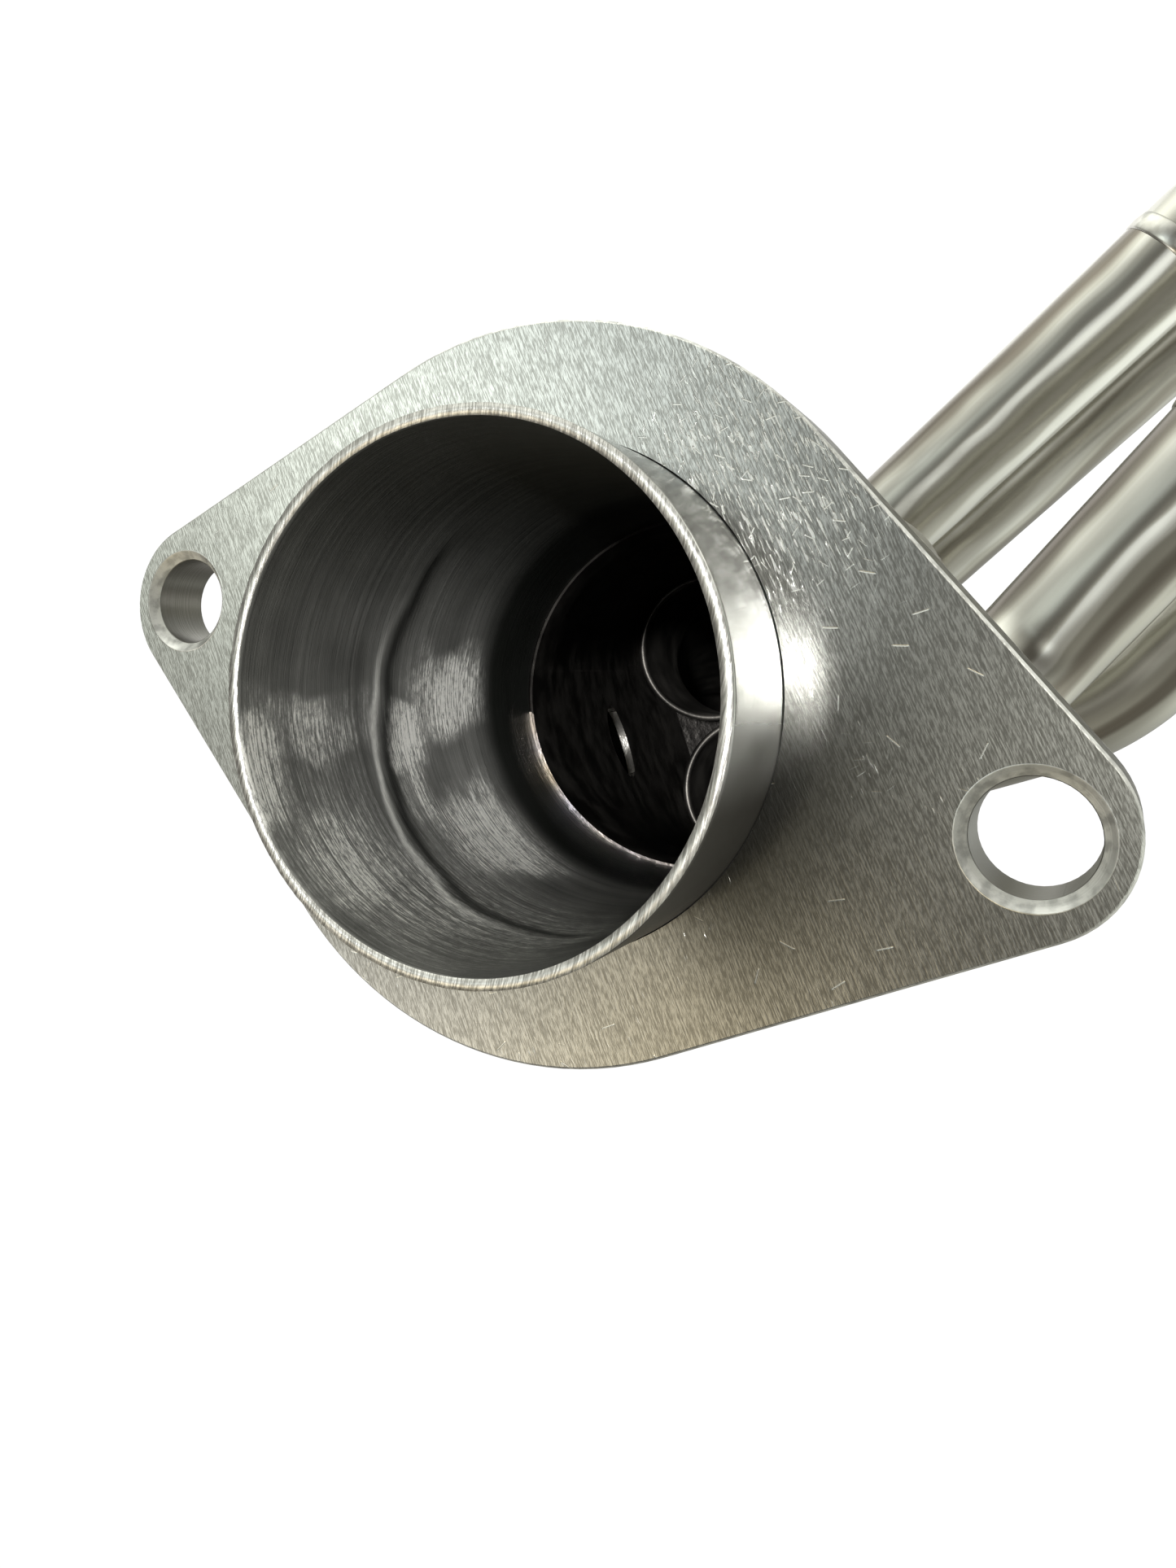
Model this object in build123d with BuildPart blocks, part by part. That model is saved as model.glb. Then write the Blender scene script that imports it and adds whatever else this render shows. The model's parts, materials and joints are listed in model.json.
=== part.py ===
from build123d import *
from math import cos, radians, sin
import os

# Four-into-one tubular exhaust manifold for a transverse four-cylinder engine.
# Frame: the origin is the middle of the port row on the gasket face of the head flange.
# +Z is up as installed, +Y points into the cylinder head, +X runs along the port row
# away from the collector.  The outlet flange hangs below, facing down.

# ---- head side ----
port_pitch = 84.0
port_count = 4
head_flange_thickness = 10.0
port_lobe_radius = 31.0
web_height = 40.0
inner_corner_radius = 6.0
stud_hole_radius = 4.5
stud_boss_radius = 11.5
stud_row_height = 30.0
end_stud_x = 162.0

# ---- primary tubes, 38.1 mm outside diameter ----
tube_radius = 19.05
tube_wall = 1.5
bend_radius = 50.0
seam_bead_height = 0.9
seam_bead_width = 4.4
fillet_weld_leg = 4.0
port_lead = 30.0

# ---- outlet, 57.15 mm pipe in a two-bolt flange ----
outlet_x = -261.0
outlet_y = -150.0
outlet_face_z = -345.0
bolt_line_angle = 60.0
outlet_radius = 28.575
outlet_wall = 1.2
outlet_standout = 15.8
slip_gap = 0.1
outlet_flange_thickness = 9.7
flange_body_radius = 40.75
bolt_spacing = 104.4
bolt_hole_radius = 5.5
bolt_hole_chamfer = 1.1
ear_radius = 10.3
ear_inset = 1.75
edge_break = 0.3

# ---- collector ----
collector_lean = 5.7
collector_lean_heading = -140.0
bundle_turn = 28.0
pipe_bend_height = 45.0
pipe_bend_radius = 80.0
pipe_tail = 13.0
collar_length = 6.0
merge_length = 106.0
sleeve_length = 26.0
collector_wall = 1.6
bundle_pitch = 38.5
bundle_gap = 0.1
tube_insertion = 22.0
closing_weld = 3.0
spike_length = 34.0
spike_reach = 9.0

# ---- oxygen sensor bung ----
bung_radius = 14.0
bung_thread_radius = 8.25
bung_along = 62.0
bung_root_distance = 30.0
bung_face_distance = 48.0
bung_weld_distance = 37.6
bung_weld_reach = 3.5

os.makedirs("parts", exist_ok=True)


def save(piece, name):
    """Label a finished piece and write its STEP file."""
    piece.part.label = name
    export_step(piece.part, f"parts/{name}.step")


# Shared places
outlet_point = Vector(outlet_x, outlet_y, outlet_face_z)
bolt_line = (cos(radians(bolt_line_angle)), sin(radians(bolt_line_angle)), 0)
outlet_plane = Plane(origin=outlet_point, x_dir=bolt_line, z_dir=(0, 0, -1))
lean_across = sin(radians(collector_lean))
lean_axis = Vector(
    lean_across * cos(radians(collector_lean_heading)),
    lean_across * sin(radians(collector_lean_heading)),
    cos(radians(collector_lean)),
)
pipe_bend_point = outlet_point + Vector(0, 0, pipe_bend_height)
collector_base = pipe_bend_point + lean_axis * pipe_tail
bundle_side = (cos(radians(bundle_turn)), sin(radians(bundle_turn)), 0)


def collector_plane(height):
    """Plane across the collector at a height above its outlet end."""
    return Plane(origin=collector_base + lean_axis * height, x_dir=bundle_side, z_dir=lean_axis)


bundle_top = collar_length + merge_length + sleeve_length
sleeve_half_width = bundle_pitch / 2 + tube_radius + bundle_gap
sleeve_corner = tube_radius + bundle_gap
port_x = [port_pitch * (1.5 - number) for number in range(port_count)]


# ---- head flange: one laser-cut plate with four ports and eight stud holes ----
stud_places = [(x, z) for x in (-port_pitch, 0, port_pitch) for z in (-stud_row_height, stud_row_height)]
end_stud_places = [(-end_stud_x, 0), (end_stud_x, 0)]
gasket_plane = Plane(origin=(0, 0, 0), x_dir=(1, 0, 0), z_dir=(0, -1, 0))

with BuildSketch(gasket_plane, mode=Mode.PRIVATE) as end_lugs:
    with Locations((end_stud_x, 0)):
        Circle(stud_boss_radius)
    with Locations((port_x[0], 0)):
        Circle(stud_row_height)
    make_hull()
    mirror(about=Plane.YZ)

with BuildPart() as head_flange:
    with BuildSketch(gasket_plane):
        add(end_lugs.sketch)
        Rectangle(3 * port_pitch, web_height)
        with Locations(*[(x, 0) for x in port_x]):
            Circle(port_lobe_radius)
        with Locations(*[(x, 0) for x in (-port_pitch, 0, port_pitch)]):
            SlotCenterToCenter(2 * stud_row_height, 2 * stud_boss_radius, rotation=90)
        offset(amount=inner_corner_radius)
        offset(amount=-inner_corner_radius)
    extrude(amount=head_flange_thickness)
    with BuildSketch(gasket_plane):
        with Locations(*[(x, 0) for x in port_x]):
            Circle(tube_radius - tube_wall)
        with Locations(*stud_places, *end_stud_places):
            Circle(stud_hole_radius)
    extrude(amount=head_flange_thickness, mode=Mode.SUBTRACT)
    chamfer(head_flange.faces().sort_by(Axis.Y)[0].edges(), edge_break)
save(head_flange, "head_flange")


def fillet_bead(centre, axis, radius, leg):
    """Fillet weld round a tube where it stands on a plate, growing along axis."""
    across = Vector(1, 0, 0) if abs(axis.X) < 0.5 else Vector(0, 1, 0)
    section = Plane(origin=centre, x_dir=across, z_dir=across.cross(axis))
    with BuildPart() as bead:
        with BuildSketch(section):
            with BuildLine():
                Polyline((radius, leg), (radius, 0), (radius + leg, 0))
                RadiusArc((radius + leg, 0), (radius, leg), 1.4 * leg)
            make_face()
        revolve(axis=Axis(centre, axis))
    return bead


def seam_bead(centre, axis, radius):
    """Low rounded butt weld round a tube joint."""
    across = Vector(0, 0, 1) if abs(axis.Z) < 0.5 else Vector(0, 1, 0)
    section = Plane(origin=centre, x_dir=across.cross(axis), z_dir=across.cross(axis).cross(axis))
    half = seam_bead_width / 2
    with BuildPart() as bead:
        with BuildSketch(section):
            with BuildLine():
                ThreePointArc((radius, -half), (radius + seam_bead_height, 0), (radius, half))
                Line((radius, half), (radius, -half))
            make_face()
        revolve(axis=Axis(centre, axis))
    return bead


def bent_tube(points, radii, radius, wall):
    """Mandrel-bent tube along straight runs joined by tangent arcs."""
    with BuildPart() as tube:
        with BuildLine() as route:
            FilletPolyline(*points, radius=radii)
        start = Plane(origin=route.line @ 0, z_dir=route.line % 0)
        with BuildSketch(start):
            Circle(radius)
            Circle(radius - wall, mode=Mode.SUBTRACT)
        sweep(path=route.line)
    return tube


# ---- primary tubes ----
# Each tube starts in one cell of the collector, leans out of it to the corner where it
# turns along the engine, and is joined by a butt weld to the piece that turns into its port.
# cell: quarter of the bundle; knee: height above the sleeve where it leans out;
# corners: where the tube turns before it runs along the engine; radii: of the knee and corners;
# swing and late_swing: sideways drift of the run per millimetre, before and after the weld;
# seam_x: where the two pieces are welded.
runners = {
    1: dict(
        cell=(-1, -1),
        knee=16,
        corners=[(-368, -213.8, 67)],
        radii=[70, 50],
        swing=0.075,
        seam_x=-88,
        late_swing=0.075,
    ),
    2: dict(
        cell=(1, -1),
        knee=24,
        corners=[(-275, -220, 24)],
        radii=[90, 38],
        swing=0.075,
        seam_x=-98,
        late_swing=0.18,
    ),
    3: dict(
        cell=(1, 1),
        knee=18,
        corners=[(-257, -133.5, -67)],
        radii=[90, 38],
        swing=-0.047,
        seam_x=-149,
        late_swing=-0.047,
    ),
    4: dict(
        cell=(-1, 1),
        knee=16,
        corners=[(-315, -154, -10), (-230, -109.6, -10)],
        radii=[90, 45, 70],
        swing=-0.047,
        seam_x=-186,
        late_swing=-0.047,
    ),
}
elbow_after_seam = 14.0

for number, runner in runners.items():
    cell = Vector(runner["cell"][0] * bundle_pitch / 2, runner["cell"][1] * bundle_pitch / 2, 0)
    mouth = collector_plane(bundle_top - tube_insertion).from_local_coords(cell)
    knee = collector_plane(bundle_top + runner["knee"]).from_local_coords(cell)
    corners = [Vector(*corner) for corner in runner["corners"]]
    run = Vector(1, runner["swing"], 0)
    seam = corners[-1] + run * (runner["seam_x"] - corners[-1].X)
    lower_route = [mouth, knee, *corners, seam]
    lower_tube = bent_tube(lower_route, runner["radii"], tube_radius, tube_wall)
    save(lower_tube, f"runner_{number}_collector_bend")

    late_run = Vector(1, runner["late_swing"], 0)
    elbow = seam + run * elbow_after_seam
    turn = elbow + late_run * (port_x[number - 1] - elbow.X)
    lead = Vector(port_x[number - 1], -head_flange_thickness - port_lead, 0)
    port_face = Vector(port_x[number - 1], -head_flange_thickness, 0)
    if runner["late_swing"] == runner["swing"]:
        port_route = [seam, turn, lead, port_face]
        port_radii = [bend_radius, bend_radius]
    else:
        port_route = [seam, elbow, turn, lead, port_face]
        port_radii = [2 * bend_radius, bend_radius, bend_radius]
    save(bent_tube(port_route, port_radii, tube_radius, tube_wall), f"runner_{number}_port_bend")
    save(seam_bead(seam, run.normalized(), tube_radius), f"runner_{number}_seam_weld")
    save(fillet_bead(port_face, Vector(0, -1, 0), tube_radius, fillet_weld_leg), f"runner_{number}_port_weld")


# ---- collector: formed shell from round outlet to the square bundle, with a slip sleeve ----
def merge_form(height_gain, shrink):
    """Solid form of the collector, shrunk by a wall thickness."""
    with BuildPart() as form:
        with BuildSketch(collector_plane(0)):
            Circle(outlet_radius - shrink)
        extrude(amount=collar_length)
        with BuildSketch(collector_plane(collar_length)):
            Circle(outlet_radius - shrink)
        with BuildSketch(collector_plane(collar_length + merge_length)):
            side = 2 * (sleeve_half_width + collector_wall - shrink)
            RectangleRounded(side, side, sleeve_corner + collector_wall - shrink)
        loft()
        with BuildSketch(collector_plane(collar_length + merge_length)):
            RectangleRounded(side, side, sleeve_corner + collector_wall - shrink)
        extrude(amount=sleeve_length + height_gain)
    return form


collector_form = merge_form(0, 0)
collector_hollow = merge_form(1, collector_wall)
bung_side = -collector_plane(0).x_dir
bung_foot = collector_base + lean_axis * bung_along
bung_plane = Plane(origin=bung_foot + bung_side * bung_root_distance, x_dir=lean_axis, z_dir=bung_side)

with BuildPart() as collector_shell:
    add(collector_form.part)
    add(collector_hollow.part, mode=Mode.SUBTRACT)
    with BuildSketch(bung_plane):
        Circle(bung_thread_radius)
    extrude(amount=bung_face_distance - bung_root_distance, mode=Mode.SUBTRACT)
save(collector_shell, "collector_shell")

# Closing weld: fills the gaps round and between the four tubes at the open end of the sleeve.
with BuildPart() as collector_weld:
    with BuildSketch(collector_plane(bundle_top)):
        side = 2 * (sleeve_half_width + collector_wall)
        RectangleRounded(side, side, sleeve_corner + collector_wall)
        with GridLocations(bundle_pitch, bundle_pitch, 2, 2):
            Circle(tube_radius, mode=Mode.SUBTRACT)
    extrude(amount=closing_weld)
save(collector_weld, "collector_weld")

# Merge spike: star-shaped root between the tube ends and a long point in the gas stream.
with BuildPart() as merge_spike:
    with BuildSketch(collector_plane(bundle_top - tube_insertion)):
        Rectangle(bundle_pitch, bundle_pitch)
        with GridLocations(bundle_pitch, bundle_pitch, 2, 2):
            Circle(tube_radius + bundle_gap, mode=Mode.SUBTRACT)
        Rectangle(2 * spike_reach, 2 * spike_reach, mode=Mode.INTERSECT)
    extrude(amount=tube_insertion / 2)
    with BuildSketch(collector_plane(bundle_top - tube_insertion)):
        Rectangle(1.2 * spike_reach, 1.2 * spike_reach, rotation=45)
    with BuildSketch(collector_plane(bundle_top - tube_insertion - spike_length)):
        Rectangle(1.5, 1.5, rotation=45)
    loft()
save(merge_spike, "merge_spike")

# ---- oxygen sensor bung on the side of the collector ----
with BuildPart() as sensor_bung:
    with BuildSketch(bung_plane):
        Circle(bung_radius)
        Circle(bung_thread_radius, mode=Mode.SUBTRACT)
    extrude(amount=bung_face_distance - bung_root_distance)
    add(collector_form.part, mode=Mode.SUBTRACT)
save(sensor_bung, "sensor_bung")

with BuildPart() as sensor_bung_weld:
    with BuildSketch(bung_plane):
        Circle(bung_radius + bung_weld_reach)
        Circle(bung_radius, mode=Mode.SUBTRACT)
    extrude(amount=bung_weld_distance - bung_root_distance)
    add(collector_form.part, mode=Mode.SUBTRACT)
save(sensor_bung_weld, "sensor_bung_weld")

# ---- outlet pipe: straight stub through the flange, then a slight bend to the collector ----
rim = outlet_point - Vector(0, 0, outlet_standout)
outlet_pipe = bent_tube([rim, pipe_bend_point, collector_base], [pipe_bend_radius], outlet_radius, outlet_wall)
save(outlet_pipe, "outlet_pipe")
save(seam_bead(collector_base, lean_axis, outlet_radius), "outlet_pipe_seam_weld")

# ---- outlet flange: flame-cut oval plate with two ears ----
with BuildPart() as outlet_flange:
    with BuildSketch(outlet_plane.offset(-outlet_flange_thickness)):
        Circle(flange_body_radius)
        with Locations((-bolt_spacing / 2 + ear_inset, 0), (bolt_spacing / 2 - ear_inset, 0)):
            Circle(ear_radius)
        make_hull()
    extrude(amount=outlet_flange_thickness)
    face_edges = outlet_flange.faces().sort_by(Axis.Z)[0].edges()
    chamfer(face_edges, edge_break)
    with BuildSketch(outlet_plane):
        Circle(outlet_radius + slip_gap)
        with Locations((-bolt_spacing / 2, 0), (bolt_spacing / 2, 0)):
            Circle(bolt_hole_radius)
    extrude(amount=-outlet_flange_thickness, mode=Mode.SUBTRACT)
    hole_rims = outlet_flange.edges().filter_by(GeomType.CIRCLE).filter_by(
        lambda edge: abs(edge.radius - bolt_hole_radius) < 0.01
    )
    chamfer(hole_rims, bolt_hole_chamfer)
save(outlet_flange, "outlet_flange")

flange_back = outlet_point + Vector(0, 0, outlet_flange_thickness)
outlet_flange_weld = fillet_bead(flange_back, Vector(0, 0, 1), outlet_radius, fillet_weld_leg)
save(outlet_flange_weld, "outlet_flange_weld")
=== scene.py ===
import json
from math import cos, pi, radians, sin

import bmesh
import bpy
from mathutils import Matrix, Vector, noise
from mathutils.bvhtree import BVHTree


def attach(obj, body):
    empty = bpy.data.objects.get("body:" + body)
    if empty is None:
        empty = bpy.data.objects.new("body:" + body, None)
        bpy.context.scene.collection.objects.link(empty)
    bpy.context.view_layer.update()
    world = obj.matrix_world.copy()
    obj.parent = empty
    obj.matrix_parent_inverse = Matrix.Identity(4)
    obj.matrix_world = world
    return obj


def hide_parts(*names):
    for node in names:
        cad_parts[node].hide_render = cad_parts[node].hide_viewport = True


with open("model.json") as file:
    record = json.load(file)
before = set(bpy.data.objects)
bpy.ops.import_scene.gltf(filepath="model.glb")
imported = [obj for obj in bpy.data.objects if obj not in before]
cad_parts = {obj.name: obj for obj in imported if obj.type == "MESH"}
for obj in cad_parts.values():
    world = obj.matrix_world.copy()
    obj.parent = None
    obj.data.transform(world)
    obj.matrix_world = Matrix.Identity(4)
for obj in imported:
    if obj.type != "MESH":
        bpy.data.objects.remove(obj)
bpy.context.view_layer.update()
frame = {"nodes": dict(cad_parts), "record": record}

cad = frame["nodes"]


# ---- Head flange ---------------------------------------------------------------------
# Laser-cut stainless plate, 10 mm thick, with four ports and eight stud holes. The gasket
# face is ground flat, the back keeps a satin mill finish, and the cut edges are striated.


class Value:
    """A number, vector or colour on its way through a recipe; arithmetic adds Math nodes."""

    def __init__(self, recipe, socket):
        self.recipe = recipe
        self.socket = socket

    def out(self, label):
        return Value(self.recipe, self.socket.node.outputs[label])

    def math(self, operation, first, second=0.0):
        return self.recipe.node("ShaderNodeMath", {"operation": operation}, {0: first, 1: second})

    def __add__(self, other):
        return self.math("ADD", self, other)

    def __sub__(self, other):
        return self.math("SUBTRACT", self, other)

    def __rsub__(self, other):
        return self.math("SUBTRACT", other, self)

    def __mul__(self, other):
        return self.math("MULTIPLY", self, other)

    def __truediv__(self, other):
        return self.math("DIVIDE", self, other)

    def __pow__(self, other):
        return self.math("POWER", self, other)

    def __abs__(self):
        return self.math("ABSOLUTE", self)

    __radd__ = __add__
    __rmul__ = __mul__

    def at_least(self, other):
        return self.math("MAXIMUM", self, other)

    def fade(self, low, high, at_low=0.0, at_high=1.0):
        """Smooth step from one value to another as this one goes from low to high."""
        settings = {"interpolation_type": "SMOOTHSTEP"}
        limits = {0: self, 1: low, 2: high, 3: at_low, 4: at_high}
        return self.recipe.node("ShaderNodeMapRange", settings, limits)

    def near(self, middle, reach):
        """1 at the middle value, falling to 0 a reach away on both sides."""
        return abs(self - middle).fade(0.0, reach, 1.0, 0.0)

    def dot(self, direction):
        settings = {"operation": "DOT_PRODUCT"}
        return self.recipe.node("ShaderNodeVectorMath", settings, {0: self, 1: tuple(direction)}).out(1)

    def spread(self, factor):
        """This vector times one number."""
        return self.recipe.node("ShaderNodeVectorMath", {"operation": "SCALE"}, {0: self, 3: factor})

    def shift(self, offset):
        """This vector plus another, or plus three plain numbers."""
        return self.recipe.node("ShaderNodeVectorMath", {"operation": "ADD"}, {0: self, 1: offset})

    def less(self, other):
        return self.recipe.node("ShaderNodeVectorMath", {"operation": "SUBTRACT"}, {0: self, 1: other})


class Recipe:
    """A node tree written down step by step."""

    def __init__(self, tree):
        self.tree = tree
        self.tree.nodes.clear()

    def node(self, kind, settings=None, inputs=None):
        """One node: its settings are made first, then its sockets are filled or linked."""
        made = self.tree.nodes.new(kind)
        for name, value in (settings or {}).items():
            setattr(made, name, value)
        for socket, value in (inputs or {}).items():
            if isinstance(value, Value):
                self.tree.links.new(value.socket, made.inputs[socket])
            else:
                made.inputs[socket].default_value = value
        return Value(self, made.outputs[0]) if made.outputs else None

    def vector(self, x, y, z=0.0):
        return self.node("ShaderNodeCombineXYZ", None, {0: x, 1: y, 2: z})

    def grain(self, place, detail=2.0, roughness=0.5, scale=1.0):
        """Soft noise from 0 to 1 over a place measured in its own grain sizes."""
        inputs = {"Vector": place, "Scale": scale, "Detail": detail, "Roughness": roughness}
        return self.node("ShaderNodeTexNoise", None, inputs)


class Finish(Recipe):
    """The recipe of one metal finish."""

    def __init__(self, name):
        self.material = bpy.data.materials.new(name)
        self.material.use_nodes = True
        super().__init__(self.material.node_tree)

    def place(self):
        return self.node("ShaderNodeTexCoord").out("Object")

    def lines(self, place, along, across, length, width, detail=2.0):
        """Noise drawn out along one direction, the way an abrasive belt leaves a face."""
        third = Vector(along).cross(Vector(across))
        drawn = self.vector(
            place.dot(Vector(along) / length), place.dot(Vector(across) / width), place.dot(third / width)
        )
        return self.grain(drawn, detail)

    def nicks(self, place, spacing, length, width, share, seed):
        """Short straight dents in some of the cells of a scattered grid, each turned its own way."""
        scaled = place.spread(1.0 / spacing).shift((seed, 0.37 * seed, 0.0))
        flat = {"voronoi_dimensions": "2D"}
        cells = self.node("ShaderNodeTexVoronoi", flat, {"Vector": scaled, "Scale": 1.0})
        chance = self.node("ShaderNodeSeparateColor", None, {0: cells.out("Color")})
        local = scaled.less(cells.out("Position"))
        turn = {"Vector": local, "Angle": chance * (2 * pi)}
        turned = self.node("ShaderNodeVectorRotate", {"rotation_type": "Z_AXIS"}, turn)
        parts = self.node("ShaderNodeSeparateXYZ", None, {0: turned})
        narrow = abs(parts.out("Y")).fade(0.3 * width / spacing, width / spacing, 1.0, 0.0)
        short = abs(parts.out("X")).fade(0.6 * length / spacing, length / spacing, 1.0, 0.0)
        return narrow * short * chance.out("Green").fade(1 - share, 1 - 0.8 * share)

    def blend(self, share, first, second):
        """Colour that goes from the first to the second with share."""
        settings = {"data_type": "RGBA"}
        return self.node("ShaderNodeMix", settings, {0: share, 6: first, 7: second}).out(2)

    def metal(self, colour, roughness, height, depth, bareness=1.0):
        """Ends the recipe: metal of this colour, roughness and height; an oxide film is less bare."""
        bump = self.node("ShaderNodeBump", None, {"Strength": 1.0, "Distance": depth, "Height": height})
        surface = self.node(
            "ShaderNodeBsdfPrincipled",
            None,
            {"Base Color": colour, "Metallic": bareness, "Roughness": roughness, "Normal": bump},
        )
        self.node("ShaderNodeOutputMaterial", None, {0: surface})
        return self.material


def dress(node_name, *materials):
    """Gives a CAD piece that keeps its shape a better finish."""
    slots = cad[node_name].data.materials
    slots.clear()
    for material in materials:
        slots.append(material)


gasket_finish = Finish("milled_gasket_plate")
spot = gasket_finish.place()
belt_marks = gasket_finish.lines(spot, (1, 0, 0), (0, 0, 1), 0.012, 0.00022, 3.0)
clouds = gasket_finish.grain(spot.spread(38.0), 4.0)
cut_edge = spot.dot((0, 1, 0)).near(-0.005, 0.00468).fade(0.0, 0.06)
flats = 1 - cut_edge
laser_lines = gasket_finish.lines(spot, (0, 1, 0), (1, 0, 0), 0.02, 0.00045, 2.0)
plate_tone = gasket_finish.blend(clouds.fade(0.3, 0.72), (0.46, 0.45, 0.43, 1), (0.62, 0.61, 0.585, 1))
edge_tone = gasket_finish.blend(laser_lines, (0.2, 0.19, 0.18, 1), (0.42, 0.405, 0.38, 1))
gasket_plate = gasket_finish.metal(
    gasket_finish.blend(flats, edge_tone, plate_tone),
    0.3 + 0.16 * clouds + 0.1 * cut_edge,
    flats * belt_marks + cut_edge * laser_lines,
    0.00006,
)
dress("head_flange", gasket_plate)


# ---- Primary tubes -------------------------------------------------------------------
# Four thin stainless tubes of 38.1 mm, each two mandrel-bent pieces. They are polished after
# bending, which leaves fine long streaks along the tube and slight flats round each bend. The
# broad light and dark bands set at fixed angles round each tube are painted reflections.

PRIMARY_RADIUS = 0.01905
PRIMARY_WALL = 0.0015
BUNDLE_PITCH = 0.0385
BUNDLE_TURN = radians(28.0)
LEAN = radians(5.7)
LEAN_HEADING = radians(-140.0)
PORT_PITCH = 0.084
PLATE_BACK = -0.010

mounts = {m["name"]: m for m in frame["record"]["mounts"]}
outlet = Vector(mounts["outlet_bolts"]["pos_m"])
outlet.z = mounts["outlet_face"]["pos_m"][2]
lean_axis = Vector((sin(LEAN) * cos(LEAN_HEADING), sin(LEAN) * sin(LEAN_HEADING), cos(LEAN)))
pipe_bend = outlet + Vector((0, 0, 0.045))
collector_foot = pipe_bend + 0.013 * lean_axis
bundle_x = Vector((cos(BUNDLE_TURN), sin(BUNDLE_TURN), 0))
bundle_x = (bundle_x - bundle_x.dot(lean_axis) * lean_axis).normalized()
bundle_y = lean_axis.cross(bundle_x)
SLEEVE_TOP = 0.138


def in_bundle(height, x, y):
    """A point across the collector, a height above its foot."""
    return collector_foot + height * lean_axis + x * bundle_x + y * bundle_y


def new_geometry_tree(name, inputs):
    """An empty geometry recipe with its named inputs, and the two ends to build between."""
    tree = bpy.data.node_groups.new(name, "GeometryNodeTree")
    tree.interface.new_socket(name="Route", in_out="INPUT", socket_type="NodeSocketGeometry")
    for label, (kind, value) in inputs.items():
        socket = tree.interface.new_socket(name=label, in_out="INPUT", socket_type=kind)
        if value is not None:
            socket.default_value = value
    tree.interface.new_socket(name="Piece", in_out="OUTPUT", socket_type="NodeSocketGeometry")
    recipe = Recipe(tree)
    return recipe, recipe.node("NodeGroupInput")


def finish_tree(recipe, piece, given):
    """Ends a geometry recipe: smooth faces, real geometry, and its metal."""
    smooth = recipe.node("GeometryNodeSetShadeSmooth", None, {"Geometry": piece})
    real = recipe.node("GeometryNodeRealizeInstances", None, {"Geometry": smooth})
    metal = recipe.node("GeometryNodeSetMaterial", None, {"Geometry": real, "Material": given.out("Metal")})
    recipe.node("NodeGroupOutput", None, {0: metal})
    return recipe.tree


def capture(recipe, geometry, kind, value):
    """Keeps a value with the points it belongs to. Gives the geometry and the kept value."""
    keeper = recipe.tree.nodes.new("GeometryNodeCaptureAttribute")
    keeper.capture_items.new(kind, "kept")
    recipe.tree.links.new(geometry.socket, keeper.inputs[0])
    recipe.tree.links.new(value.socket, keeper.inputs[1])
    return Value(recipe, keeper.outputs[0]), Value(recipe, keeper.outputs[1])


def make_piece(name, points, tree, sizes, closed=False, bends=None):
    """Runs a geometry recipe along a route of points and keeps the result as a plain mesh."""
    count = len(points)
    edges = [(i, (i + 1) % count) for i in range(count if closed else count - 1)]
    route_mesh = bpy.data.meshes.new(name + "_route")
    route_mesh.from_pydata([tuple(p) for p in points], edges, [])
    if bends:
        stored = route_mesh.attributes.new("bend", "FLOAT", "POINT")
        stored.data.foreach_set("value", [0.0, *bends, 0.0])
    route = bpy.data.objects.new(name + "_route", route_mesh)
    bpy.context.scene.collection.objects.link(route)
    modifier = route.modifiers.new("shape", "NODES")
    modifier.node_group = tree
    sockets = {item.name: item.identifier for item in tree.interface.items_tree if item.in_out == "INPUT"}
    for label, value in sizes.items():
        modifier[sockets[label]] = value
    shaped = route.evaluated_get(bpy.context.evaluated_depsgraph_get())
    mesh = bpy.data.meshes.new_from_object(shaped)
    mesh.name = name
    bpy.data.objects.remove(route)
    piece = bpy.data.objects.new(name, mesh)
    bpy.context.scene.collection.objects.link(piece)
    return piece


def give_wall(piece, thickness, *inner_metal):
    """Turns a one-sided skin into a wall; its inner face takes the inner metal."""
    for metal in inner_metal:
        piece.data.materials.append(metal)
    wall = piece.modifiers.new("wall", "SOLIDIFY")
    wall.thickness = thickness
    wall.offset = -1.0
    wall.use_even_offset = True
    wall.material_offset = 1
    wall.material_offset_rim = min(2, len(inner_metal))
    shaped = piece.evaluated_get(bpy.context.evaluated_depsgraph_get())
    mesh = bpy.data.meshes.new_from_object(shaped)
    mesh.name = piece.name
    piece.modifiers.clear()
    piece.data = mesh
    return piece


def place_piece(piece, slot, *nodes):
    """Fixes a new piece to the manifold, in place of the plain CAD pieces it stands for."""
    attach(piece, "root")
    if nodes:
        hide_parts(*nodes)


recipe, given = new_geometry_tree(
    "bent_tube",
    {
        "Outside Radius": ("NodeSocketFloat", PRIMARY_RADIUS),
        "Step": ("NodeSocketFloat", 0.002),
        "Sides": ("NodeSocketInt", 96),
        "Bend Dents": ("NodeSocketFloat", 0.0001),
        "Metal": ("NodeSocketMaterial", None),
    },
)
line = recipe.node("GeometryNodeMeshToCurve", None, {0: given.out("Route")})
bend_radius = recipe.node("GeometryNodeInputNamedAttribute", {"data_type": "FLOAT"}, {"Name": "bend"})
rounded = recipe.node(
    "GeometryNodeFilletCurve", {"mode": "POLY"}, {"Curve": line, "Count": 32, "Radius": bend_radius}
)
stepped = recipe.node(
    "GeometryNodeResampleCurve", {"mode": "LENGTH"}, {"Curve": rounded, "Length": given.out("Step")}
)
stepped, along = capture(recipe, stepped, "FLOAT", recipe.node("GeometryNodeSplineParameter").out("Length"))
ring_sizes = {"Resolution": given.out("Sides"), "Radius": given.out("Outside Radius")}
ring = recipe.node("GeometryNodeCurvePrimitiveCircle", None, ring_sizes)
ring, around = capture(recipe, ring, "VECTOR", recipe.node("GeometryNodeInputPosition"))
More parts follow.
